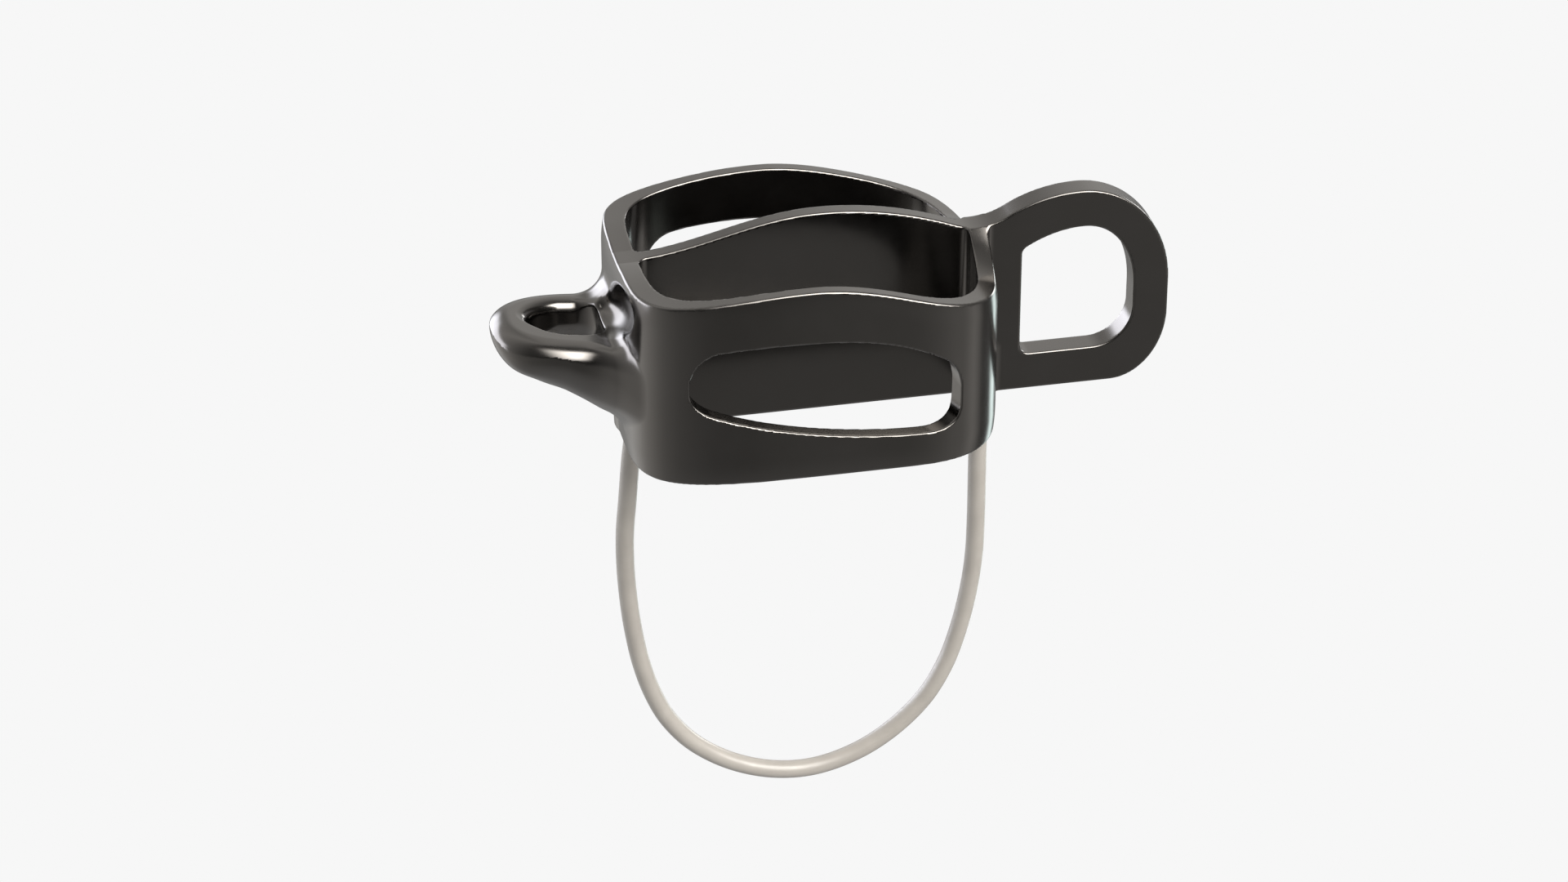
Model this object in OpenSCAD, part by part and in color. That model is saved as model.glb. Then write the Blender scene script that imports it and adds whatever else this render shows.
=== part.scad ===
// Tube belay device with a guide eye, a release loop and a hanging keeper cable.
// Millimetres. The origin is the centre of the guide eye's hole. +X points from the tube
// to the eye, +Z to the side where the rope goes in, and y = 0 is the plane of symmetry.

/* [Tube] */
// Length of the tube along X
tube_length = 54.4; // [52:0.1:56]
// Depth of the tube along Y
tube_depth = 41.7; // [38:0.1:44]
// Distance from the eye's centre to the tube's near end
tube_offset = 13.6; // [13.2:0.1:15]
// Distance from the eye's centre down to the flat bottom
tube_bottom = 15.7; // [15.5:0.1:18]
// Thickness of the long side walls
side_wall = 2.4; // [2:0.1:3]
// Thickness of the end wall that carries the release loop
far_wall = 3.4; // [2.8:0.1:4]
// Thickness of the end wall that carries the guide eye
near_wall = 3; // [2.4:0.1:3.4]
// Thickness of the divider between the rope slots
divider_wall = 2.4; // [2:0.1:3]
// Height of the rim's crest above the eye's centre
rim_crest = 13.8; // [12:0.1:15]
// Height of the divider's crest above the eye's centre
divider_crest = 16; // [15:0.1:17]

/* [Side windows] */
// Height of the window's upper edge at its crest
window_top = 6; // [4:0.1:7]
// Depth of the window's lower edge at its lowest
window_bottom = 11.1; // [9:0.1:12]

/* [Guide eye] */
// Thickness of the eye plate
eye_wall = 3.8; // [3.4:0.1:4.6]
// Reach of the eye plate beyond the eye's centre
eye_reach = 13.6; // [13:0.1:16]
// Height of the eye plate above the eye's centre
eye_height = 15.8; // [14.5:0.1:17]

/* [Release loop] */
// Distance from the tube's far end to the loop's tip
loop_reach = 17.9; // [17:0.1:20]
// Width of the loop across Y
loop_width = 18.7; // [17.5:0.1:20]
// Height of the loop's ring along Z
loop_height = 5.6; // [4.6:0.1:7]
// Length of the release hole along X
hole_length = 10.8; // [9.6:0.1:12]
// Width of the release hole across Y
hole_width = 9.4; // [7:0.1:10]

/* [Keeper cable] */
// Outer diameter of the cable's plastic sheath
cable_d = 2.7; // [2.4:0.1:3]
// Diameter of the wire rope inside the sheath
core_d = 1.8; // [1.4:0.1:2]
// Depth of the drilled socket that holds each end
socket_depth = 9; // [7:0.5:10]
// Diameter of each socket
socket_d = 2.8; // [2.75:0.05:3.1]
// Length of each crimped ferrule
ferrule_length = 4.5; // [3:0.5:5]

/* [Hidden] */

skip = 0.1;                                   // overrun of a cutting tool
near_x = -tube_offset;
far_x = near_x - tube_length;
bottom_z = -tube_bottom;
side_y = tube_depth / 2;

// Plan of the tube: a superellipse that is squarer at the far end than at the near end.
plan_x = near_x - 17.4;                       // where the tube is deepest
far_power = 5;
near_power = 3;
plan_step = 5;

// Rim and divider, as seen along Y: each rises to a crest and falls to both ends.
rim_x = -43.5;
rim_far_fall = 1.9;
rim_far_run = 26;
rim_near_fall = 6.3;
rim_near_run = 32;
rim_drop_x = -19;
rim_drop = 0.035;                             // fall per square millimetre beyond that
divider_x = -38.5;
divider_far_fall = 4.5;
divider_far_run = 28;
divider_curve = 0.01;                         // fall per square millimetre towards the eye
profile_step = 1.5;
saddle_base = 9;                              // half width of the ramp up to the eye plate
saddle_crest = 2.6;

// Guide eye
eye_root_x = near_x - near_wall;
eye_shoulder = [18.6, eye_height];            // ellipse radii, from the crest to the tube
eye_foot = [8.4, 10.7];                       // ellipse radii of the lower outer corner

// Release loop
loop_z = 0.4;                                 // middle of the ring
loop_tip_x = far_x - loop_reach;
loop_x = loop_tip_x + loop_width / 2;         // centre of the ring's round end
hole_tip_x = loop_tip_x + 5.4;
hole_end_x = hole_tip_x + hole_length;

// Keeper cable
left_x = far_x + 2.5;
right_x = near_x - 0.4;
boss_d = 5;
boss_height = 8;
socket_top_z = bottom_z + socket_depth;
bend_z = -17.5;                               // where the loop starts to swing
end_gap = 0.2;                                // between the clamped end and the swinging loop
end_z = bend_z + cable_d / 2 + end_gap;
ferrule_z = socket_top_z - 0.3 - ferrule_length;
press = 0.02;                                 // radial interference of a ferrule
sides = 8;
steps = 3;                                    // rings on each stretch of the route

// Centreline of the loop, from the left exit to the right one, as [x, z].
ROUTE = [
    [-65.5, -17.5], [-66, -22], [-66.5, -28], [-67, -34], [-67, -40], [-66.6, -46],
    [-66, -51], [-65, -56.5], [-63.4, -62], [-61, -67.2], [-57, -72.2], [-51.4, -76.2],
    [-45, -78.6], [-38.5, -79], [-32, -77.2], [-26.4, -73.8], [-21.6, -69], [-18.4, -63.4],
    [-16.4, -57.4], [-15, -51], [-14.2, -44.6], [-14, -38], [-14, -31], [-14, -24],
    [-14, -17.5]
];

// Points on an ellipse arc about c with radii r, from angle a to angle b.
function arc(c, r, a, b, n = 12) =
    [for (i = [0:n]) let (t = a + (b - a) * i / n) [c.x + r.x * cos(t), c.y + r.y * sin(t)]];

function unit(v) = v / norm(v);

// Arc of radius r that rounds the corner p between its neighbours a and b.
function corner(a, p, b, r, n = 8) =
    let (
        u = unit(a - p),
        v = unit(b - p),
        half = acos(u * v) / 2,
        c = p + unit(u + v) * r / sin(half),
        s = p + u * r / tan(half) - c,
        side = sign(u.x * v.y - u.y * v.x),
        turn = -side * (180 - 2 * half)
    )
    [for (i = [0:n]) let (t = turn * i / n) c + [s.x * cos(t) - s.y * sin(t), s.x * sin(t) + s.y * cos(t)]];

// Outline through corners given as [x, y, radius].
function rounded(p) =
    let (m = len(p))
    [for (i = [0:m - 1])
        let (a = p[(i + m - 1) % m], q = p[i], b = p[(i + 1) % m])
        each corner([a.x, a.y], [q.x, q.y], [b.x, b.y], q.z)];

// Smooth fall from 0 to 1 over a run, like half a cosine wave.
function ease(u) = (1 - cos(180 * min(1, max(0, u)))) / 2;

function rim_z(x) = x < rim_x
    ? rim_crest - rim_far_fall * ease((rim_x - x) / rim_far_run)
    : rim_crest - rim_near_fall * ease((x - rim_x) / rim_near_run)
        - rim_drop * pow(max(0, x - rim_drop_x), 2);

function divider_z(x) = x < divider_x
    ? divider_crest - divider_far_fall * ease((divider_x - x) / divider_far_run)
    : divider_crest - divider_curve * pow(x - divider_x, 2);

// Superellipse plan of the tube, drawn in by the given wall thicknesses.
function plan(side_in, far_in, near_in) =
    [for (t = [0:plan_step:360 - plan_step])
        let (
            near = cos(t) >= 0,
            power = 2 / (near ? near_power : far_power),
            reach = near ? near_x - near_in - plan_x : plan_x - far_x - far_in,
            across = side_y - side_in
        )
        [plan_x + sign(cos(t)) * reach * pow(abs(cos(t)), power),
         sign(sin(t)) * across * pow(abs(sin(t)), power)]];

// Draws a profile given in x and z as a plate of that thickness, centred on y = 0.
module plate(points, thickness) {
    rotate([90, 0, 0])
        linear_extrude(thickness, center = true)
            polygon(points);
}

module tube_walls() {
    rim = [for (x = [far_x - 3:profile_step:near_x + 3]) [x, rim_z(x)]];
    outline = concat([[near_x + 3, bottom_z], [far_x - 3, bottom_z]], rim);
    intersection() {
        translate([0, 0, bottom_z])
            linear_extrude(tube_bottom + divider_crest)
                polygon(plan(0, 0, 0));
        union() {
            plate(outline, tube_depth + 2);
            saddle();
        }
    }
}

// Ramps on the near end wall, from the rim up to the eye plate.
module saddle() {
    low = rim_z(near_x);
    high = divider_z(near_x);
    ramp = [[-saddle_base, low - 1], [saddle_base, low - 1], [saddle_base, low],
            [saddle_crest, high], [-saddle_crest, high], [-saddle_base, low]];
    translate([eye_root_x, 0, 0])
        rotate([90, 0, 90])
            linear_extrude(near_wall + 1)
                polygon(ramp);
}

module divider() {
    top = [for (x = [far_x + 1:profile_step:eye_root_x + 1]) [x, divider_z(x)]];
    plate(concat([[eye_root_x + 1, bottom_z], [far_x + 1, bottom_z]], top), divider_wall);
}

// Both rope slots together; the divider is added again afterwards.
module slots() {
    translate([0, 0, bottom_z - skip])
        linear_extrude(tube_bottom + divider_crest + 2 * skip)
            polygon(plan(side_wall, far_wall, near_wall));
}

module windows() {
    low = -window_bottom;
    outline = rounded([
        [far_x + 7.1, window_top - 0.5, 4.5], [-38, window_top, 40], [-21.4, window_top - 3.6, 5],
        [-21.9, low, 4.5], [-38, low + 1, 50], [far_x + 7.1, low + 7.2, 3.2]
    ]);
    plate(outline, tube_depth + 2);
}

module eye_plate() {
    outline = concat(
        [[eye_root_x, divider_z(eye_root_x)], [eye_root_x, bottom_z]],
        arc([eye_reach - eye_foot.x, bottom_z + eye_foot.y], eye_foot, -90, 0),
        arc([0, 0], [eye_reach, eye_height], 0, 90),
        arc([0, 0], eye_shoulder, 93, 132)
    );
    plate(outline, eye_wall);
}

module eye_hole() {
    outline = concat(
        arc([-7.2, 6.4], [1.3, 1.3], 180, 110, 6),
        arc([0.5, -1], [7.8, 11], 100, 0, 16),
        arc([2.9, -4.5], [5.4, 5.4], 0, -90),
        arc([-6.9, -8.3], [1.6, 1.6], -90, -180, 6)
    );
    plate(outline, eye_wall + 2);
}

module release_loop() {
    root_x = far_x + 1.5;
    ring = concat(
        [[root_x, -loop_width / 2 + 1]],
        [[root_x, loop_width / 2 - 1]],
        arc([loop_x, 0], [loop_width / 2, loop_width / 2], 90, 270, 24)
    );
    gusset = [[root_x, bottom_z + 1.4], [far_x - 0.8, bottom_z + 3.2], [loop_tip_x + 3, loop_z - 3.6],
              [loop_tip_x + 1.4, loop_z], [root_x, loop_z]];
    translate([0, 0, loop_z - loop_height / 2])
        linear_extrude(loop_height)
            polygon(ring);
    intersection() {
        plate(gusset, loop_width);
        translate([0, 0, bottom_z])
            linear_extrude(tube_bottom + loop_z)
                polygon(ring);
    }
}

module release_hole() {
    half = hole_width / 2;
    outline = concat(
        arc([hole_tip_x + half, 0], [half, half], 90, 270, 16),
        arc([hole_end_x - 2.5, -half + 2.5], [2.5, 2.5], -90, 0, 6),
        arc([hole_end_x - 2.5, half - 2.5], [2.5, 2.5], 0, 90, 6)
    );
    translate([0, 0, bottom_z])
        linear_extrude(tube_bottom + loop_height)
            polygon(outline);
}

module at_both_exits() {
    for (x = [left_x, right_x])
        translate([x, 0, 0])
            children();
}

module body() {
    color("dimgray")
    difference() {
        union() {
            difference() {
                union() {
                    tube_walls();
                    release_loop();
                }
                slots();
                windows();
            }
            divider();
            eye_plate();
            at_both_exits()
                translate([0, 0, bottom_z])
                    cylinder(h = boss_height, d = boss_d, $fn = 48);
        }
        eye_hole();
        release_hole();
        at_both_exits()
            translate([0, 0, bottom_z - skip])
                cylinder(h = socket_depth + skip, d = socket_d, $fn = 48);
    }
}

// A sleeve crimped on the bared wire rope, pressed into its socket.
module ferrule(x) {
    color("silver")
    translate([x, 0, ferrule_z])
        difference() {
            cylinder(h = ferrule_length, d = socket_d + 2 * press, $fn = 48);
            translate([0, 0, -skip])
                cylinder(h = ferrule_length + 2 * skip, d = core_d, $fn = 48);
        }
}

// The clamped end of the wire rope, from inside the ferrule to the exit.
module core_end(x) {
    color("lightsteelblue")
    translate([x, 0, end_z])
        cylinder(h = ferrule_z + ferrule_length - end_z, d = core_d, $fn = 48);
}

// The clamped end of the sheath, from the ferrule to the exit.
module sheath_end(x) {
    color("linen")
    translate([x, 0, end_z])
        difference() {
            cylinder(h = ferrule_z - end_z, d = cable_d, $fn = 48);
            translate([0, 0, -skip])
                cylinder(h = ferrule_z - end_z + 2 * skip, d = core_d, $fn = 48);
        }
}

// Catmull-Rom curve through the route, with its end points repeated.
function route_at(i) = ROUTE[min(len(ROUTE) - 1, max(0, i))];
function spline(a, b, c, d, t) =
    0.5 * (2 * b + (c - a) * t + (2 * a - 5 * b + 4 * c - d) * t * t
        + (3 * b - a - 3 * c + d) * t * t * t);
CENTRES = [for (i = [0:len(ROUTE) - 2]) for (k = [0:steps - 1])
               spline(route_at(i - 1), route_at(i), route_at(i + 1), route_at(i + 2), k / steps),
           ROUTE[len(ROUTE) - 1]];

// Direction of the curve at a ring; the loop leaves both exits straight down.
function heading(i) =
    i == 0 ? [0, -1] :
    i == len(CENTRES) - 1 ? [0, 1] :
    unit(CENTRES[i + 1] - CENTRES[i - 1]);

function ring(i, r) =
    let (c = CENTRES[i], h = heading(i))
    [for (k = [0:sides - 1]) let (a = 360 * k / sides)
        [c.x + r * cos(a) * h.y, r * sin(a), c.y - r * cos(a) * h.x]];

function skin(first, count, flip) =
    [for (i = [0:count - 2]) for (k = [0:sides - 1])
        let (
            a = first + i * sides + k,
            b = first + i * sides + (k + 1) % sides,
            quad = [a, b, b + sides, a + sides]
        )
        flip ? [quad[3], quad[2], quad[1], quad[0]] : quad];

module keeper_core() {
    count = len(CENTRES);
    points = [for (i = [0:count - 1]) each ring(i, core_d / 2)];
    start = [for (k = [0:sides - 1]) sides - 1 - k];
    finish = [for (k = [0:sides - 1]) (count - 1) * sides + k];
    color("lightsteelblue")
        polyhedron(points, concat(skin(0, count, false), [start], [finish]));
}

module keeper_sheath() {
    count = len(CENTRES);
    inner = count * sides;
    points = concat(
        [for (i = [0:count - 1]) each ring(i, cable_d / 2)],
        [for (i = [0:count - 1]) each ring(i, core_d / 2)]
    );
    start = [for (k = [0:sides - 1]) let (n = (k + 1) % sides) [n, k, inner + k, inner + n]];
    last = (count - 1) * sides;
    finish = [for (k = [0:sides - 1]) let (n = (k + 1) % sides)
        [last + k, last + n, inner + last + n, inner + last + k]];
    color("linen")
        polyhedron(points, concat(skin(0, count, false), skin(inner, count, true), start, finish));
}

body();
ferrule(left_x);  // left_ferrule
ferrule(right_x);  // right_ferrule
core_end(left_x);  // left_core_end
core_end(right_x);  // right_core_end
sheath_end(left_x);  // left_sheath_end
sheath_end(right_x);  // right_sheath_end
keeper_core();
keeper_sheath();
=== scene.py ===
"""A tube belay device with a guide eye, a release loop and a coated keeper cable.

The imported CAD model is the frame. The machined body is rebuilt here as a fine mesh of a
smooth implicit shape, so that its edges and blends are rounded as on the real part. The cable
becomes one sheath and one core, each in one piece. Shapes are worked out in millimetres in the
frame's axes, and turned into metres when a mesh is made.
"""
import math

import bpy
import numpy as np
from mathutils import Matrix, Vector


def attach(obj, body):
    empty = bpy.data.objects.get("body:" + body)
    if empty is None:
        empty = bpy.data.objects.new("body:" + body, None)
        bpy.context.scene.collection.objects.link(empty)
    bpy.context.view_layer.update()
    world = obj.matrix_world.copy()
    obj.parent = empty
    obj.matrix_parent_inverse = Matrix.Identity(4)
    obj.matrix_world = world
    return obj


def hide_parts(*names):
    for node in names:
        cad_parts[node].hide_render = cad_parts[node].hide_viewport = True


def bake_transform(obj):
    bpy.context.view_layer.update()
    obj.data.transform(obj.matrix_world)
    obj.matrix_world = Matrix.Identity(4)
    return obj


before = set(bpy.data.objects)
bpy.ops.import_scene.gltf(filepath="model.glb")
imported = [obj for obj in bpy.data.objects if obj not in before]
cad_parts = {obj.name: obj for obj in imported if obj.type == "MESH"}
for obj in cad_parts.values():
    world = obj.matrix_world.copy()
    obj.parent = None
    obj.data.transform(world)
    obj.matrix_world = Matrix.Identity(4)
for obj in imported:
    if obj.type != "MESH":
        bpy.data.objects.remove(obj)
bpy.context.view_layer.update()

MM = 0.001

# ---------------------------------------------------------------- camera
CAMERA_TARGET = Vector((-43.2, 0.0, -21.3)) * MM
CAMERA_AZIMUTH = math.radians(-12.2)
CAMERA_ELEVATION = math.radians(30.0)
CAMERA_DISTANCE = 666.7 * MM
CAMERA_LENS = 105.0
CAMERA_SENSOR = 36.0
CAMERA_CLIP = (0.01, 100.0)


def make_camera():
    """A long lens that looks at the target from the left and above."""
    away = Vector((
        math.sin(CAMERA_AZIMUTH) * math.cos(CAMERA_ELEVATION),
        -math.cos(CAMERA_AZIMUTH) * math.cos(CAMERA_ELEVATION),
        math.sin(CAMERA_ELEVATION),
    ))
    data = bpy.data.cameras.new("camera")
    data.lens = CAMERA_LENS
    data.sensor_width = CAMERA_SENSOR
    data.clip_start, data.clip_end = CAMERA_CLIP
    camera = bpy.data.objects.new("camera", data)
    bpy.context.scene.collection.objects.link(camera)
    camera.location = CAMERA_TARGET + away * CAMERA_DISTANCE
    camera.rotation_euler = away.to_track_quat("Z", "Y").to_euler()
    bpy.context.scene.camera = camera


# ---------------------------------------------------------------- meshes
def new_object(name, points_mm, faces, normals=None):
    """A smooth-shaded object from points in millimetres and faces of any number of corners."""
    mesh = bpy.data.meshes.new(name)
    points = np.asarray(points_mm, dtype=np.float64) * MM
    corners = np.concatenate(faces).astype(np.int32)
    sizes = np.array([len(face) for face in faces], dtype=np.int32)
    mesh.vertices.add(len(points))
    mesh.vertices.foreach_set("co", points.ravel())
    mesh.loops.add(len(corners))
    mesh.loops.foreach_set("vertex_index", corners)
    mesh.polygons.add(len(faces))
    mesh.polygons.foreach_set("loop_start", np.cumsum(sizes) - sizes)
    mesh.polygons.foreach_set("use_smooth", np.ones(len(faces), dtype=bool))
    mesh.update(calc_edges=True)
    mesh.validate()
    if normals is not None:
        mesh.normals_split_custom_set_from_vertices(normals)
    piece = bpy.data.objects.new(name, mesh)
    bpy.context.scene.collection.objects.link(piece)
    return piece


# ---------------------------------------------------------------- keeper cable
# The loop's route as (x, z), from the left exit to the right one.
CABLE_ROUTE = [
    (-65.5, -17.5), (-66, -22), (-66.5, -28), (-67, -34), (-67, -40), (-66.6, -46),
    (-66, -51), (-65, -56.5), (-63.4, -62), (-61, -67.2), (-57, -72.2), (-51.4, -76.2),
    (-45, -78.6), (-38.5, -79), (-32, -77.2), (-26.4, -73.8), (-21.6, -69), (-18.4, -63.4),
    (-16.4, -57.4), (-15, -51), (-14.2, -44.6), (-14, -38), (-14, -31), (-14, -24),
    (-14, -17.5),
]
CABLE_D = 2.7
CORE_D = 1.8
LEFT_X = -65.5
RIGHT_X = -14.0
SHEATH_TOP = -11.6              # inside the sockets, under the ferrules
CORE_TOP = -7.1
STRAIGHT_END = -15.0            # the cable runs straight down through the sockets to here
CABLE_STEPS = 8                 # points on the centreline between two points of the route
SHEATH_SIDES = 24
CORE_SIDES = 16


def cable_points(top):
    """Centreline from inside the left socket round the loop into the right one, as (x, z)."""
    start = [(LEFT_X, top), (LEFT_X, STRAIGHT_END)]
    finish = [(RIGHT_X, STRAIGHT_END), (RIGHT_X, top)]
    route = np.array(start + CABLE_ROUTE + finish)
    padded = np.vstack([route[:1], route, route[-1:]])
    t = np.arange(CABLE_STEPS)[:, None] / CABLE_STEPS
    points = []
    for i in range(len(route) - 1):
        a, b, c, d = padded[i:i + 4]
        points.append(0.5 * (2 * b + (c - a) * t + (2 * a - 5 * b + 4 * c - d) * t ** 2
                             + (3 * b - a - 3 * c + d) * t ** 3))
    points.append(route[-1:])
    return np.vstack(points)


def ring_points(line, radius, around):
    """Rings of that radius round a centreline in the plane y = 0."""
    along = np.gradient(line, axis=0)
    along /= np.linalg.norm(along, axis=1, keepdims=True)
    across = np.stack([along[:, 1], -along[:, 0]], axis=1)
    turn = np.arange(around) * 2 * math.pi / around
    rings = np.empty((len(line), around, 3))
    rings[:, :, 0] = line[:, None, 0] + radius * np.cos(turn) * across[:, None, 0]
    rings[:, :, 1] = radius * np.sin(turn)
    rings[:, :, 2] = line[:, None, 1] + radius * np.cos(turn) * across[:, None, 1]
    return rings.reshape(-1, 3)


def ring_faces(first, count, around):
    """Quads between each ring and the next, for rings whose points start at number first."""
    i = first + np.arange(count - 1)[:, None] * around
    k = np.arange(around)[None, :]
    n = (k + 1) % around
    return np.stack([i + k, i + n, i + n + around, i + k + around], axis=-1).reshape(-1, 4)


def rod(line, radius, around):
    """A round bar along the centreline, closed at both ends."""
    start = list(range(around))
    finish = [(len(line) - 1) * around + k for k in start]
    faces = ring_faces(0, len(line), around).tolist()
    return ring_points(line, radius, around), faces + [start[::-1], finish]


def pipe(line, radius, bore, around):
    """A hollow bar along the centreline, its wall closed at both ends."""
    count = len(line)
    inner = count * around
    points = np.vstack([ring_points(line, radius, around), ring_points(line, bore, around)])
    faces = ring_faces(0, count, around).tolist() + ring_faces(inner, count, around)[:, ::-1].tolist()
    last = (count - 1) * around
    for k in range(around):
        n = (k + 1) % around
        faces.append([n, k, inner + k, inner + n])
        faces.append([last + k, last + n, inner + last + n, inner + last + k])
    return points, faces


# ---------------------------------------------------------------- implicit shapes, in mm
# A shape is a function of x, y and z: below 0 inside, above 0 outside, and near its surface
# about the distance to it.
TINY = 1e-6                     # keeps a slope or a length away from 0


def meet(a, b, r):
    """What two solids share, its edge rounded to radius r."""
    return np.minimum(-r, np.maximum(a, b)) + np.hypot(np.maximum(a + r, 0), np.maximum(b + r, 0))


def join(a, b, r):
    """Two solids together, the crease between them filled to radius r."""
    return np.maximum(r, np.minimum(a, b)) - np.hypot(np.maximum(r - a, 0), np.maximum(r - b, 0))


def fade(value, start, end):
    """Smooth step from 0 at start to 1 at end."""
    t = np.clip((value - start) / (end - start), 0, 1)
    return t * t * (3 - 2 * t)


def oval(u, v, a, b, power):
    """Distance, near its edge, to a superellipse of half sizes a and b, from offsets u and v."""
    u = np.abs(u) + TINY
    v = np.abs(v) + TINY
    g = ((u / a) ** power + (v / b) ** power) ** (1 / power)
    du = (u / a) ** (power - 1) / a
    dv = (v / b) ** (power - 1) / b
    return (g - 1) * g ** (power - 1) / np.hypot(du, dv)


def under(z, height, slope):
    """Distance to the space below a curve of that height and slope."""
    return (z - height) / np.sqrt(1 + slope ** 2)


# ---- tube
FAR_X = -68.0                   # outer faces of the end walls
NEAR_X = -13.55
BOTTOM_Z = -15.7
SIDE_Y = 20.8
PLAN_X = -31.0                  # where the plan's far and near curves meet
FAR_POWER = 5.0                 # how square each curve is
NEAR_POWER = 3.0
SIDE_WALL = 2.35
FAR_WALL = 3.45
NEAR_WALL = 3.05
DIVIDER_WALL = 2.4
SLOT_CORNER = 1.3
EDGE = 0.3                      # radius of the rim's, the windows' and the eye's edges
RIM_LEAN, FLOOR_LEAN = 0.35, 0.2      # how far the walls draw in at the rim and at the bottom
LEAN_DEPTH = 3.5

# A crest has a highest point, and a fall and a run to each side.
RIM_X, RIM_CREST = -43.5, 13.8
RIM_FAR_FALL, RIM_FAR_RUN = 1.9, 26.0
RIM_NEAR_FALL, RIM_NEAR_RUN = 6.3, 32.0
RIM_DROP_X, RIM_DROP = -19.0, 0.035     # the rim's last fall, on the near end wall
DIVIDER_X, DIVIDER_CREST = -38.5, 16.0
DIVIDER_FAR_FALL, DIVIDER_FAR_RUN = 4.5, 28.0
DIVIDER_CURVE = 0.01
DIVIDER_END_X = -8.0
VALLEY_FILL = 4.2                       # between the divider's crest and the eye plate's
SADDLE_START, SADDLE_END = 1.9, 11.0    # distance from the middle, where crest turns into rim

# ---- eye plate
PLATE_WALL = 3.8
PLATE_REACH = 13.6              # from the eye's centre to the tip
PLATE_HEIGHT = 15.75            # of the crest over the eye's centre
PLATE_SHOULDER = 18.6           # length of the crest's arc towards the tube
PLATE_ROOT_X = -17.0            # inside the near end wall
PLATE_FILLET = 1.0
CROWN_CORE = 1e-4               # keeps the crest's slope away from 0 over the eye
FOOT_X, FOOT_Z = 5.2, -5.0      # centre of the rounded corner under the tip
FOOT_REACH, FOOT_HEIGHT = 8.4, 10.7
FOOT_CORE = 0.05                # share of the corner in which the distance is only rough


def plan(x, y, side_in, far_in, near_in):
    """Superellipse plan of the tube, squarer at the far end, drawn in by the walls."""
    far = oval(x - PLAN_X, y, PLAN_X - FAR_X - far_in, SIDE_Y - side_in, FAR_POWER)
    near = oval(x - PLAN_X, y, NEAR_X - near_in - PLAN_X, SIDE_Y - side_in, NEAR_POWER)
    return np.where(x < PLAN_X, far, near)


def wave(x, crest_x, crest, far_fall, far_run, near_fall, near_run):
    """Height and slope of a crest that falls like half a cosine wave to each side."""
    run = np.where(x < crest_x, far_run, near_run)
    fall = np.where(x < crest_x, far_fall, near_fall)
    u = np.clip(np.abs(x - crest_x) / run, 0, 1)
    height = crest - fall * (1 - np.cos(math.pi * u)) / 2
    slope = -fall * np.sin(math.pi * u) * math.pi / (2 * run) * np.sign(x - crest_x)
    return height, slope


def divider_line(x):
    """Height and slope of the divider's crest: a wave on the far side, a parabola on the near."""
    far_side = (DIVIDER_X, DIVIDER_CREST, DIVIDER_FAR_FALL, DIVIDER_FAR_RUN)
    height, slope = wave(x, *far_side, near_fall=0.0, near_run=1.0)
    past = np.maximum(x - DIVIDER_X, 0)
    return height - DIVIDER_CURVE * past ** 2, slope - 2 * DIVIDER_CURVE * past


def crown(x, z):
    """Distance to the ellipse arcs of the eye plate's upper edge, carried straight down below."""
    reach = np.where(x > 0, PLATE_REACH, PLATE_SHOULDER)
    u = np.abs(x) / reach + CROWN_CORE
    v = np.maximum(z, 0) / PLATE_HEIGHT
    g = np.hypot(u, v)
    return (g - 1) * g / np.hypot(u / reach, v / PLATE_HEIGHT)


def rim_line(x):
    """Height and slope of the side walls' rim, and of the near end wall's."""
    height, slope = wave(x, RIM_X, RIM_CREST, RIM_FAR_FALL, RIM_FAR_RUN, RIM_NEAR_FALL, RIM_NEAR_RUN)
    past = np.maximum(x - RIM_DROP_X, 0)
    return height - RIM_DROP * past ** 2, slope - 2 * RIM_DROP * past


def top(x, y, z):
    """Distance to the space below the rim, the divider and the eye plate's crest."""
    rim = under(z, *rim_line(x))
    ridge = np.maximum(under(z, *divider_line(x)), x - DIVIDER_END_X)
    middle = join(ridge, crown(x, z), VALLEY_FILL)
    aside = 1 - np.clip((SADDLE_END - np.abs(y)) / (SADDLE_END - SADDLE_START), 0, 1) ** 2
    return middle + (rim - middle) * aside


def floor_line(x, z):
    """Distance to the space above the flat bottom and the eye plate's rounded foot."""
    u = np.maximum(x - FOOT_X, 0)
    v = np.maximum(FOOT_Z - z, 0)
    g = np.hypot(u / FOOT_REACH, v / FOOT_HEIGHT)
    slope = np.hypot(u / FOOT_REACH ** 2, v / FOOT_HEIGHT ** 2)
    return (g - 1) * np.maximum(g, FOOT_CORE) / np.maximum(slope, FOOT_CORE / FOOT_HEIGHT)


# ---- side windows
ARCH_X, ARCH_Z = -47.0, 5.9             # crest of the upper edge
ARCH_CURVE, ARCH_TAIL = 0.0050, 9e-6    # its fall, by the square and the fourth power
SILL_X, SILL_Z = -25.5, -11.05          # lowest point of the lower edge
SILL_CURVE = 0.0054
WINDOW_FAR_X = -60.75
WINDOW_NEAR_X, WINDOW_NEAR_Y = -21.8, 19.6
WINDOW_SLANT = 0.4                      # of the near end, inward through the wall
WINDOW_INNER_Y = 10.0
FAR_TOP_R, FAR_BOTTOM_R = 4.5, 3.2      # the corners' radii
NEAR_TOP_R, NEAR_BOTTOM_R = 2.5, 4.5


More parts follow.
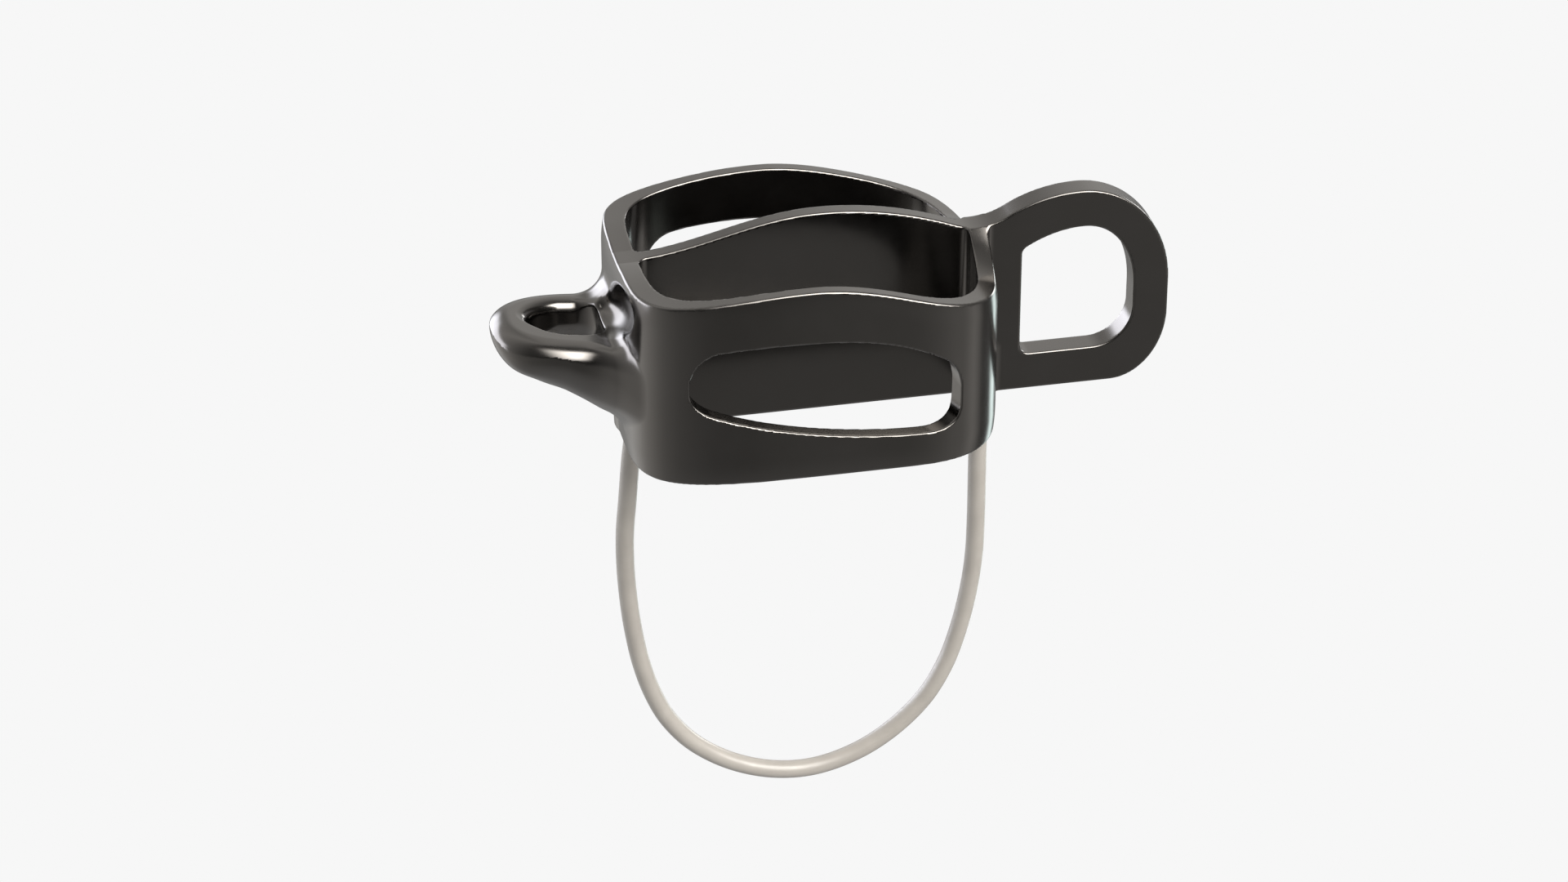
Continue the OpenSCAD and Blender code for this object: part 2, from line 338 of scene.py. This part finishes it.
def window(x, y, z):
    """Both side windows, cut from outside as far as the slots."""
    u = x - ARCH_X
    arch_z = ARCH_Z - ARCH_CURVE * u ** 2 - ARCH_TAIL * u ** 4
    upper = under(z, arch_z, -2 * ARCH_CURVE * u - 4 * ARCH_TAIL * u ** 3)
    w = x - SILL_X
    lower = -under(z, SILL_Z + SILL_CURVE * w ** 2, 2 * SILL_CURVE * w)
    hole = meet(meet(WINDOW_FAR_X - x, upper, FAR_TOP_R), lower, FAR_BOTTOM_R)
    near_end = x - WINDOW_NEAR_X + WINDOW_SLANT * (WINDOW_NEAR_Y - np.abs(y))
    near_end = near_end / math.hypot(1, WINDOW_SLANT)
    hole = meet(hole, meet(near_end, lower, NEAR_BOTTOM_R), NEAR_TOP_R)
    return np.maximum(hole, WINDOW_INNER_Y - np.abs(y))


# ---- guide eye
EYE_X, EYE_Z = 0.5, -1.0        # centre of the round end
EYE_REACH, EYE_RISE = 7.8, 10.95
EYE_POWER = 2.15
EYE_CURVE = 0.0345              # fall of the upper edge towards the flat end
EYE_LEFT_X = -8.5
EYE_FLOOR_Z = -9.9
EYE_TOP_R, EYE_BOTTOM_R, EYE_TIP_R = 0.6, 1.5, 6.0


def eye(x, z):
    """D-shaped hole with an upright flat end towards the tube."""
    u = x - EYE_X
    before = np.minimum(u, 0)
    arch = under(z, EYE_Z + EYE_RISE - EYE_CURVE * before ** 2, -2 * EYE_CURVE * before)
    left = meet(meet(EYE_LEFT_X - x, arch, EYE_TOP_R), EYE_FLOOR_Z - z, EYE_BOTTOM_R)
    right = oval(np.maximum(u, 0), np.maximum(z - EYE_Z, 0), EYE_REACH, EYE_RISE, EYE_POWER)
    right = np.where((u < 0) & (z < EYE_Z), -EYE_REACH, right)
    return np.maximum(left, meet(right, EYE_FLOOR_Z - z, EYE_TIP_R))


# ---- release loop, from its tip on the left to inside the far end wall
LOOP_X, LOOP_END_X = -72.0, -65.0
LOOP_REACH = 14.45
LOOP_R = 10.05
LOOP_POWER = 2.4
LOOP_EDGE = 2.4
LOOP_TOP_X, LOOP_TOP = -72.5, 2.45      # a point on the top face, and the face's slope
LOOP_TILT = 0.115
LOOP_LEAN, LOOP_LEAN_Z = 0.035, -2.5    # the sides draw in above this height
KEEL_X, KEEL_Z = -76.8, -6.35           # a point on the underside, and the underside's slope
KEEL_TILT = 0.63
KEEL_DROP, KEEL_DROP_X = 0.6, (-80.0, -85.0)
KEEL_R, KEEL_R_LOSS, KEEL_R_X = 7.6, 4.0, (-76.0, -84.0)
FLARE = 3.2                             # how far the root spreads on the near side
FLARE_X, FLARE_Y, FLARE_Z = (-76.0, -67.0), (2.0, -2.0), (-12.0, -6.0)
LOOP_BLEND, LOOP_BLEND_GAIN = 2.2, 2.6  # the root's fillet, wider on the far side
LOOP_BLEND_Y = (-2.0, 5.0)

HOLE_X, HOLE_END_X = -75.0, -69.8
HOLE_REACH, HOLE_R = 5.4, 4.7
HOLE_POWER = 1.8
HOLE_CORNER = 3.0
HOLE_SPREAD, HOLE_SPREAD_Z = 1.3, (-0.8, -4.3)
HOLE_EDGE, HOLE_EDGE_GAIN = 0.5, 1.4    # rounder towards the tip on the far side
HOLE_EDGE_X, HOLE_EDGE_Y = (-70.4, -73.4), (-3.0, 2.0)


def loop(x, y, z):
    """The release loop before its hole is cut: flat on top, keeled below."""
    flare = FLARE * fade(x, *FLARE_X) ** 2 * fade(z, *FLARE_Z) * fade(y, *FLARE_Y)
    tip = oval(x - LOOP_X, y, LOOP_REACH, LOOP_R, LOOP_POWER)
    outline = np.where(x < LOOP_X, tip, np.abs(y) - LOOP_R) - flare
    lean = LOOP_LEAN * np.maximum(z - LOOP_LEAN_Z, 0) ** 2
    outline = np.maximum(outline, x - LOOP_END_X) + lean
    upper = under(z, LOOP_TOP - LOOP_TILT * (x - LOOP_TOP_X), -LOOP_TILT)
    keel_z = KEEL_Z - KEEL_TILT * (x - KEEL_X) - KEEL_DROP * fade(x, *KEEL_DROP_X)
    lower = -under(z, keel_z, -KEEL_TILT)
    keel_r = KEEL_R - KEEL_R_LOSS * fade(x, *KEEL_R_X)
    return np.maximum(meet(outline, upper, LOOP_EDGE), meet(outline, lower, keel_r))


def loop_hole(x, y, z):
    """Release hole: pointed at the tip, and wider below the ring than inside it."""
    spread = HOLE_SPREAD * fade(z, *HOLE_SPREAD_Z)
    tip = oval(np.minimum(x - HOLE_X, 0), y, HOLE_REACH + spread, HOLE_R + spread, HOLE_POWER)
    shape = np.where(x < HOLE_X, tip, np.abs(y) - HOLE_R - spread)
    return meet(shape, x - HOLE_END_X, HOLE_CORNER)


# ---- bosses and sockets for the cable's ends
BOSS_R, BOSS_TOP = 2.5, -7.7
BOSS_EDGE, BOSS_FILLET = 0.8, 0.8
SOCKET_R, SOCKET_TOP = 1.4, -6.7
SOCKET_EDGE = 0.25


def from_exits(x, y):
    """Distance from the upright line through the nearer of the cable's exits."""
    return np.minimum(np.hypot(x - LEFT_X, y), np.hypot(x - RIGHT_X, y))


def boss(x, y, z):
    return meet(from_exits(x, y) - BOSS_R, z - BOSS_TOP, BOSS_EDGE)


def socket(x, y, z):
    return np.maximum(from_exits(x, y) - SOCKET_R, z - SOCKET_TOP)


# ---- scoop: a turned ellipsoid
SCOOP_AT = (-69.5, -5.3, 6.2)
SCOOP_SIZE = (3.4, 9.0, 3.7)
SCOOP_TURN = math.radians(20)
SCOOP_EDGE = 0.6


def scoop(x, y, z):
    """Shallow bowl in the far end wall, above the near side of the loop's root."""
    dx, dy, dz = x - SCOOP_AT[0], y - SCOOP_AT[1], z - SCOOP_AT[2]
    across = dz * math.sin(SCOOP_TURN) - dy * math.cos(SCOOP_TURN)
    up = dy * math.sin(SCOOP_TURN) + dz * math.cos(SCOOP_TURN)
    u, v, w = dx / SCOOP_SIZE[0], across / SCOOP_SIZE[1], up / SCOOP_SIZE[2]
    g = np.sqrt(u * u + v * v + w * w) + TINY
    slope = np.sqrt((u / SCOOP_SIZE[0]) ** 2 + (v / SCOOP_SIZE[1]) ** 2 + (w / SCOOP_SIZE[2]) ** 2) + TINY
    return (g - 1) * g / slope


# ---- whole body
def body_shape(x, y, z):
    """The body, from the tube and the loop to the last cut, with an edge radius at each step."""
    x, y, z = np.broadcast_arrays(x, y, z)
    from_rim = np.clip((rim_line(x)[0] - z) / LEAN_DEPTH, 0, 1)
    from_floor = np.clip((z - BOTTOM_Z) / LEAN_DEPTH, 0, 1)
    outer = plan(x, y, 0, 0, 0) + RIM_LEAN * (1 - from_rim) ** 2 + FLOOR_LEAN * (1 - from_floor) ** 2
    blend = LOOP_BLEND + LOOP_BLEND_GAIN * fade(y, *LOOP_BLEND_Y)
    solid = join(outer, loop(x, y, z), blend)
    solid = meet(solid, -scoop(x, y, z), SCOOP_EDGE)
    strip = np.maximum(np.abs(y) - PLATE_WALL / 2, PLATE_ROOT_X - x)
    solid = join(solid, strip, PLATE_FILLET)
    inner = plan(x, y, SIDE_WALL, FAR_WALL, NEAR_WALL)
    slots = meet(inner, DIVIDER_WALL / 2 - np.abs(y), SLOT_CORNER)
    solid = np.maximum(solid, -slots)
    solid = join(solid, boss(x, y, z), BOSS_FILLET)
    solid = meet(solid, np.maximum(top(x, y, z), floor_line(x, z)), EDGE)
    solid = meet(solid, -window(x, y, z), EDGE)
    solid = meet(solid, -eye(x, z), EDGE)
    hole_edge = HOLE_EDGE + HOLE_EDGE_GAIN * fade(x, *HOLE_EDGE_X) * fade(y, *HOLE_EDGE_Y)
    solid = meet(solid, -loop_hole(x, y, z), hole_edge)
    return meet(solid, -socket(x, y, z), SOCKET_EDGE)


# ---------------------------------------------------------------- body's mesh
PITCH = 0.3                     # of the grid, in mm
GRID_LOW = (-87.0, -21.6, -16.9)        # box round the body, with room for the grid's last cells
GRID_HIGH = (14.8, 21.6, 17.2)
BLOCK = 8                       # grid points along each side of a block
BLOCK_REACH = 1.2               # furthest that a block's surface may be, in block sides
SLOPE_STEP = 0.02               # over which a slope is measured, in mm
LEAST_SLOPE = 0.1               # a flatter shape than this doesn't move a point further


def cell_points(values, low, pitch):
    """A point in each grid cell that the zero surface crosses, and each cell's point number."""
    inside = values < 0
    ends = (slice(None, -1), slice(1, None))
    corners = [(i, j, k) for i in (0, 1) for j in (0, 1) for k in (0, 1)]
    count = np.zeros([n - 1 for n in values.shape], dtype=np.int8)
    for i, j, k in corners:
        count += inside[ends[i], ends[j], ends[k]]
    cells = np.argwhere((count > 0) & (count < len(corners)))
    index = np.full(count.shape, -1, dtype=np.int32)
    index[tuple(cells.T)] = np.arange(len(cells))
    at = {c: values[tuple((cells + c).T)] for c in corners}
    total = np.zeros((len(cells), 3))
    crossings = np.zeros(len(cells))
    for a in corners:
        for axis in range(3):
            if a[axis]:
                continue
            b = tuple(v + (n == axis) for n, v in enumerate(a))
            crosses = (at[a] < 0) != (at[b] < 0)
            t = at[a][crosses] / (at[a][crosses] - at[b][crosses])
            total[crosses] += a
            total[crosses, axis] += t
            crossings += crosses
    return low + pitch * (cells + total / crossings[:, None]), index


def crossing_quads(inside, index, axis):
    """A quad round each grid edge along that axis that runs through the surface, facing out."""
    one, two = [n for n in range(3) if n != axis]
    lead = [slice(None)] * 3
    tail = [slice(None)] * 3
    lead[axis], tail[axis] = slice(None, -1), slice(1, None)
    a, b = inside[tuple(lead)], inside[tuple(tail)]
    inner = [slice(None)] * 3
    inner[one] = inner[two] = slice(1, -1)
    edge = np.argwhere((a != b)[tuple(inner)])
    edge[:, one] += 1
    edge[:, two] += 1
    starts_inside = a[tuple(edge.T)]
    ring = []
    for p, q in ((1, 1), (0, 1), (0, 0), (1, 0)):
        cell = edge.copy()
        cell[:, one] -= p
        cell[:, two] -= q
        ring.append(index[tuple(cell.T)])
    quad = np.stack(ring, axis=1)
    flip = starts_inside != (axis != 1)
    quad[flip] = quad[flip][:, ::-1]
    return quad


def surface_net(values, low, pitch):
    """Points and quads of the zero surface of a grid of values."""
    points, index = cell_points(values, low, pitch)
    faces = [crossing_quads(values < 0, index, axis) for axis in range(3)]
    return points, np.vstack(faces)


def slope_at(shape, points):
    """Gradient of a shape at each point, which points out of the solid."""
    out = np.empty_like(points)
    for n in range(3):
        step = np.zeros(3)
        step[n] = SLOPE_STEP
        ahead = shape(*(points + step).T)
        behind = shape(*(points - step).T)
        out[:, n] = (ahead - behind) / (2 * SLOPE_STEP)
    return out


def settle(shape, points, reach, rounds):
    """Moves points onto the zero surface along its slope, at most reach in each round."""
    for _ in range(rounds):
        value = shape(*points.T)
        slope = slope_at(shape, points)
        steepness = np.maximum((slope ** 2).sum(axis=1), LEAST_SLOPE)
        step = value[:, None] * slope / steepness[:, None]
        size = np.linalg.norm(step, axis=1, keepdims=True)
        points = points - step * np.minimum(1, reach / np.maximum(size, TINY))
    return points


def relax(points, faces, shape, pitch, rounds):
    """Evens out the spacing of the points within the surface."""
    pairs = np.vstack([faces[:, [n, (n + 1) % 4]] for n in range(4)])
    one, two = np.unique(np.sort(pairs, axis=1), axis=0).T
    size = len(points)
    count = np.bincount(one, minlength=size) + np.bincount(two, minlength=size)
    for _ in range(rounds):
        total = np.zeros_like(points)
        for n in range(3):
            total[:, n] = np.bincount(one, points[two, n], size) + np.bincount(two, points[one, n], size)
        middle = total / count[:, None]
        points = (points + middle) / 2
        points = settle(shape, points, pitch, 1)
    return points


def sample(shape, low, high, pitch):
    """Values of a shape on a grid, in full only in the blocks that its surface may cross."""
    blocks = np.ceil((high - low) / (pitch * BLOCK)).astype(int)
    centres = [low[n] + pitch * (BLOCK * (np.arange(blocks[n]) + 0.5) - 0.5) for n in range(3)]
    rough = shape(centres[0][:, None, None], centres[1][None, :, None], centres[2][None, None, :])
    values = rough
    for n in range(3):
        values = np.repeat(values, BLOCK, axis=n)
    cells = values.reshape(blocks[0], BLOCK, blocks[1], BLOCK, blocks[2], BLOCK)
    cells = cells.transpose(0, 2, 4, 1, 3, 5)
    near = np.argwhere(np.abs(rough) < BLOCK_REACH * pitch * BLOCK)
    x, y, z = [low[n] + pitch * (BLOCK * near[:, n, None] + np.arange(BLOCK)) for n in range(3)]
    cells[tuple(near.T)] = shape(x[:, :, None, None], y[:, None, :, None], z[:, None, None, :])
    return values


def make_body():
    """The whole machined body as one fine mesh, which stands in for the CAD's."""
    pitch = PITCH
    low = np.array(GRID_LOW)
    values = sample(body_shape, low, np.array(GRID_HIGH), pitch)
    points, faces = surface_net(values, low, pitch)
    points = settle(body_shape, points, pitch, rounds=3)
    points = relax(points, faces, body_shape, pitch, rounds=3)
    points = settle(body_shape, points, pitch, rounds=2)
    normals = slope_at(body_shape, points)
    normals /= np.linalg.norm(normals, axis=1, keepdims=True)
    body = new_object("machined_body", points, faces, normals)
    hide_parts("body")
    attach(body, "device")
    return body


# ---------------------------------------------------------------- materials
NOISE_LOW, NOISE_HIGH = 0.35, 0.65      # where most of a noise's values lie
COLOUR_LOW, COLOUR_HIGH = 0.3, 0.7


def node_material(name):
    """A new material with an empty principled shader: the material, its tree and the shader."""
    material = bpy.data.materials.new(name)
    material.use_nodes = True
    tree = material.node_tree
    tree.nodes.clear()
    output = tree.nodes.new("ShaderNodeOutputMaterial")
    shader = tree.nodes.new("ShaderNodeBsdfPrincipled")
    tree.links.new(shader.outputs["BSDF"], output.inputs["Surface"])
    return material, tree, shader


def add_noise(tree, scale, detail, stretch=(1, 1, 1)):
    """Noise fixed to the piece, at that many lumps to a metre."""
    place = tree.nodes.new("ShaderNodeTexCoord")
    mapping = tree.nodes.new("ShaderNodeMapping")
    mapping.inputs["Scale"].default_value = stretch
    noise = tree.nodes.new("ShaderNodeTexNoise")
    noise.inputs["Scale"].default_value = scale
    noise.inputs["Detail"].default_value = detail
    tree.links.new(place.outputs["Object"], mapping.inputs["Vector"])
    tree.links.new(mapping.outputs["Vector"], noise.inputs["Vector"])
    return noise.outputs["Fac"]


def add_range(tree, value, low, high, start=NOISE_LOW, end=NOISE_HIGH):
    """Carries a value from the range start to end over to the range low to high."""
    spread = tree.nodes.new("ShaderNodeMapRange")
    spread.inputs["From Min"].default_value = start
    spread.inputs["From Max"].default_value = end
    spread.inputs["To Min"].default_value = low
    spread.inputs["To Max"].default_value = high
    tree.links.new(value, spread.inputs["Value"])
    return spread.outputs["Result"]


def add_ramp(tree, value, stops):
    """Colour by value, from stops of a place between 0 and 1 and a colour."""
    ramp = tree.nodes.new("ShaderNodeValToRGB")
    elements = ramp.color_ramp.elements
    given = len(elements)
    for n, (at, colour) in enumerate(stops):
        element = elements[n] if n < given else elements.new(at)
        element.position = at
        element.color = (*colour, 1)
    tree.links.new(value, ramp.inputs["Fac"])
    return ramp.outputs["Color"]


def add_bump(tree, shader, height, distance, strength):
    bump = tree.nodes.new("ShaderNodeBump")
    bump.inputs["Distance"].default_value = distance
    bump.inputs["Strength"].default_value = strength
    tree.links.new(height, bump.inputs["Height"])
    tree.links.new(bump.outputs["Normal"], shader.inputs["Normal"])


def add_colour(tree, shader, dark, light, scale, detail):
    noise = add_noise(tree, scale, detail)
    colour = add_ramp(tree, noise, [(COLOUR_LOW, dark), (COLOUR_HIGH, light)])
    tree.links.new(colour, shader.inputs["Base Color"])


def add_roughness(tree, shader, low, high, scale):
    rough = add_range(tree, add_noise(tree, scale, detail=4), low, high)
    tree.links.new(rough, shader.inputs["Roughness"])


def anodised():
    """Dark, smooth metal of the body."""
    material, tree, shader = node_material("dark_anodised_aluminium")
    shader.inputs["Metallic"].default_value = 1.0
    add_colour(tree, shader, (0.112, 0.106, 0.100), (0.120, 0.114, 0.109), scale=60, detail=6)
    add_roughness(tree, shader, 0.17, 0.21, scale=300)
    add_bump(tree, shader, add_noise(tree, scale=400, detail=3), distance=0.00001, strength=0.1)
    return material


def plastic():
    """Pale, half glossy coating of the cable."""
    material, tree, shader = node_material("ivory_cable_coating")
    add_colour(tree, shader, (0.22, 0.205, 0.187), (0.25, 0.234, 0.213), scale=250, detail=5)
    add_roughness(tree, shader, 0.34, 0.46, scale=1500)
    shader.inputs["Coat Weight"].default_value = 0.15
    shader.inputs["Coat Roughness"].default_value = 0.2
    add_bump(tree, shader, add_noise(tree, scale=2000, detail=2), distance=0.00001, strength=0.1)
    return material


def steel():
    """Plain, slightly rough metal of the ferrules."""
    material, tree, shader = node_material("ferrule_steel")
    shader.inputs["Metallic"].default_value = 1.0
    add_colour(tree, shader, (0.44, 0.43, 0.42), (0.58, 0.57, 0.56), scale=700, detail=5)
    add_roughness(tree, shader, 0.25, 0.42, scale=2500)
    add_bump(tree, shader, add_noise(tree, scale=4000, detail=4), distance=0.00003, strength=0.3)
    return material


def wire():
    """Metal whose bumps are drawn out along Z, as the strands run."""
    material, tree, shader = node_material("wire_rope_strands")
    shader.inputs["Metallic"].default_value = 1.0
    add_colour(tree, shader, (0.32, 0.31, 0.30), (0.55, 0.54, 0.52), scale=900, detail=4)
    add_roughness(tree, shader, 0.3, 0.5, scale=2500)
    strands = add_noise(tree, scale=3000, detail=2, stretch=(1, 1, 0.2))
    add_bump(tree, shader, strands, distance=0.0001, strength=0.5)
    return material


def paint(piece, material):
    """Gives a piece that material and no other."""
    piece.data.materials.clear()
    piece.data.materials.append(material)


# ---------------------------------------------------------------- studio
FLOOR_Z = -0.45                 # in metres, as its reach
FLOOR_REACH = 30.0
FLOOR_COLOUR = (0.93, 0.93, 0.93, 1)


def make_floor():
    """A pale, evenly lit floor, which the object's reflections don't show."""
    mesh = bpy.data.meshes.new("studio_floor")
    corners = [(-1, -1), (1, -1), (1, 1), (-1, 1)]
    points = [(x * FLOOR_REACH, y * FLOOR_REACH, FLOOR_Z) for x, y in corners]
    mesh.from_pydata(points, [], [(0, 1, 2, 3)])
    piece = bpy.data.objects.new("studio_floor", mesh)
    bpy.context.scene.collection.objects.link(piece)
    material = bpy.data.materials.new("studio_floor")
    material.use_nodes = True
    tree = material.node_tree
    tree.nodes.clear()
    output = tree.nodes.new("ShaderNodeOutputMaterial")
    glow = tree.nodes.new("ShaderNodeEmission")
    glow.inputs["Color"].default_value = FLOOR_COLOUR
    tree.links.new(glow.outputs["Emission"], output.inputs["Surface"])
    mesh.materials.append(material)
    piece.visible_glossy = False


# Brightness of the studio by compass bearing, in degrees from +X towards +Y: first just
# below the horizon, then above it.
LOW_SKY = [
    (-180, 0.85), (-153, 0.53), (-128, 0.35), (-100, 0.23), (-85, 0.22), (-70, 0.33), (-45, 0.52),
    (-32, 0.53), (-14, 0.88), (-4, 0.60), (6, 0.20), (22, 0.20), (60, 0.24), (80, 0.22), (100, 0.36),
    (119, 1.05), (140, 1.25), (160, 1.05), (180, 0.85),
]
HIGH_SKY = [
    (-180, 0.70), (-140, 0.20), (-110, 0.04), (-60, 0.04), (-20, 0.20), (20, 0.50), (45, 0.90),
    (68, 1.20), (82, 1.05), (95, 0.75), (115, 0.90), (140, 1.10), (180, 0.70),
]
HIGH_Z = (-0.25, 0.25)          # Z of a direction, where the low sky turns into the high one
FLOOR_GLOW = 0.50               # brightness straight below
FLOOR_GLOW_Z = (-0.95, -0.55)
SKY_PEAK = 2.0                  # brightness that the sky's colours are a share of
WARM = (1.0, 0.985, 0.955)


def turn_share(bearing):
    """Share of a full turn, from the bearing -180."""
    return (bearing + 180) / 360


def sky_ramp(tree, bearing, table):
    stops = [(turn_share(at), tuple(level / SKY_PEAK * c for c in WARM)) for at, level in table]
    return add_ramp(tree, bearing, stops)


def add_mix(tree, share, one, two):
    """Mix of two colours, of which the second is an output or four numbers."""
    mix = tree.nodes.new("ShaderNodeMix")
    mix.data_type = "RGBA"
    tree.links.new(share, mix.inputs["Factor"])
    tree.links.new(one, mix.inputs["A"])
    if isinstance(two, tuple):
        mix.inputs["B"].default_value = two
    else:
        tree.links.new(two, mix.inputs["B"])
    return mix.outputs["Result"]


def add_window(tree, value, start, full, full_end, end):
    """1 between full and full_end, falling smoothly to 0 at start and end."""
    rise = smooth_range(tree, value, start, full)
    fall = smooth_range(tree, value, end, full_end)
    return add_product(tree, rise, fall)


def smooth_range(tree, value, start, end):
    spread = tree.nodes.new("ShaderNodeMapRange")
    spread.interpolation_type = "SMOOTHSTEP"
    spread.inputs["From Min"].default_value = start
    spread.inputs["From Max"].default_value = end
    tree.links.new(value, spread.inputs["Value"])
    return spread.outputs["Result"]


def add_product(tree, one, two):
    times = tree.nodes.new("ShaderNodeMath")
    times.operation = "MULTIPLY"
    tree.links.new(one, times.inputs[0])
    tree.links.new(two, times.inputs[1])
    return times.outputs["Value"]


# Soft boxes in the studio's sky: brightness, colour, and the ranges in which each shines.
# A range is (axis, start, full, full end, end), on X, Y or Z of the direction, or on its bearing.
# The first is above and in front, the second behind on the left, the others behind on the right.
SOFT_BOXES = [
    (15.0, (1.0, 0.98, 0.94), [
        ("X", -0.30, 0.25, 0.65, 1.00),
        ("Y", -0.98, -0.76, -0.46, -0.24),
        ("Z", 0.22, 0.48, 1.5, 2.0),
    ]),
    (6.5, (0.90, 0.92, 1.0), [
        ("bearing", 96, 112, 166, 184),
        ("Z", -0.32, -0.12, 0.28, 0.44),
    ]),
    (3.0, (0.86, 1.0, 0.98), [
        ("bearing", 29, 38, 45, 54),
        ("Z", -0.75, -0.55, 0.02, 0.20),
    ]),
    (9.0, (1.0, 1.0, 1.0), [
        ("bearing", 30, 38, 46, 54),
        ("Z", -0.14, 0.0, 0.14, 0.28),
    ]),
]


def box_share(tree, bearing, split, ranges):
    """How far each direction lies within all of a soft box's ranges."""
    share = None
    for axis, *limits in ranges:
        if axis == "bearing":
            part = add_window(tree, bearing, *[turn_share(at) for at in limits])
        else:
            part = add_window(tree, split.outputs[axis], *limits)
        share = part if share is None else add_product(tree, share, part)
    return share


def make_world():
    """The studio's light: a sky that changes with the bearing, a glow from below and soft boxes."""
    world = bpy.data.worlds.new("studio")
    bpy.context.scene.world = world
    world.use_nodes = True
    tree = world.node_tree
    tree.nodes.clear()
    output = tree.nodes.new("ShaderNodeOutputWorld")
    sky = tree.nodes.new("ShaderNodeBackground")
    place = tree.nodes.new("ShaderNodeTexCoord")
    split = tree.nodes.new("ShaderNodeSeparateXYZ")
    tree.links.new(place.outputs["Generated"], split.inputs["Vector"])
    angle = tree.nodes.new("ShaderNodeMath")
    angle.operation = "ARCTAN2"
    tree.links.new(split.outputs["Y"], angle.inputs[0])
    tree.links.new(split.outputs["X"], angle.inputs[1])
    bearing = add_range(tree, angle.outputs["Value"], 0, 1, -math.pi, math.pi)
    high_share = add_range(tree, split.outputs["Z"], 0, 1, *HIGH_Z)
    floor_share = add_range(tree, split.outputs["Z"], 1, 0, *FLOOR_GLOW_Z)
    low_sky = sky_ramp(tree, bearing, LOW_SKY)
    high_sky = sky_ramp(tree, bearing, HIGH_SKY)
    glow = FLOOR_GLOW / SKY_PEAK
    colour = add_mix(tree, high_share, low_sky, high_sky)
    colour = add_mix(tree, floor_share, colour, (glow, glow, glow, 1))
    for level, tint, ranges in SOFT_BOXES:
        share = box_share(tree, bearing, split, ranges)
        colour = add_mix(tree, share, colour, (*[level / SKY_PEAK * c for c in tint], 1))
    tree.links.new(colour, sky.inputs["Color"])
    sky.inputs["Strength"].default_value = SKY_PEAK
    tree.links.new(sky.outputs["Background"], output.inputs["Surface"])


# ---------------------------------------------------------------- making
def make_cable():
    """The sheath and the core inside it, each from inside one socket round the loop into the other."""
    line = cable_points(SHEATH_TOP)
    core_line = cable_points(CORE_TOP)
    sheath = new_object("cable_sheath", *pipe(line, CABLE_D / 2, CORE_D / 2, SHEATH_SIDES))
    core = new_object("cable_core", *rod(core_line, CORE_D / 2, CORE_SIDES))
    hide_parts("keeper_sheath", "left_sheath_end", "right_sheath_end")
    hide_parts("keeper_core", "left_core_end", "right_core_end")
    for piece in (sheath, core):
        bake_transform(piece)
    return sheath, core


make_camera()
sheath, core = make_cable()
body = make_body()
paint(body, anodised())
paint(sheath, plastic())
paint(core, wire())
metal = steel()
for name in ("left_ferrule", "right_ferrule"):
    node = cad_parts[name]
    for slot in node.material_slots:
        slot.material = metal
make_world()
make_floor()
bpy.context.scene.view_settings.view_transform = "Standard"
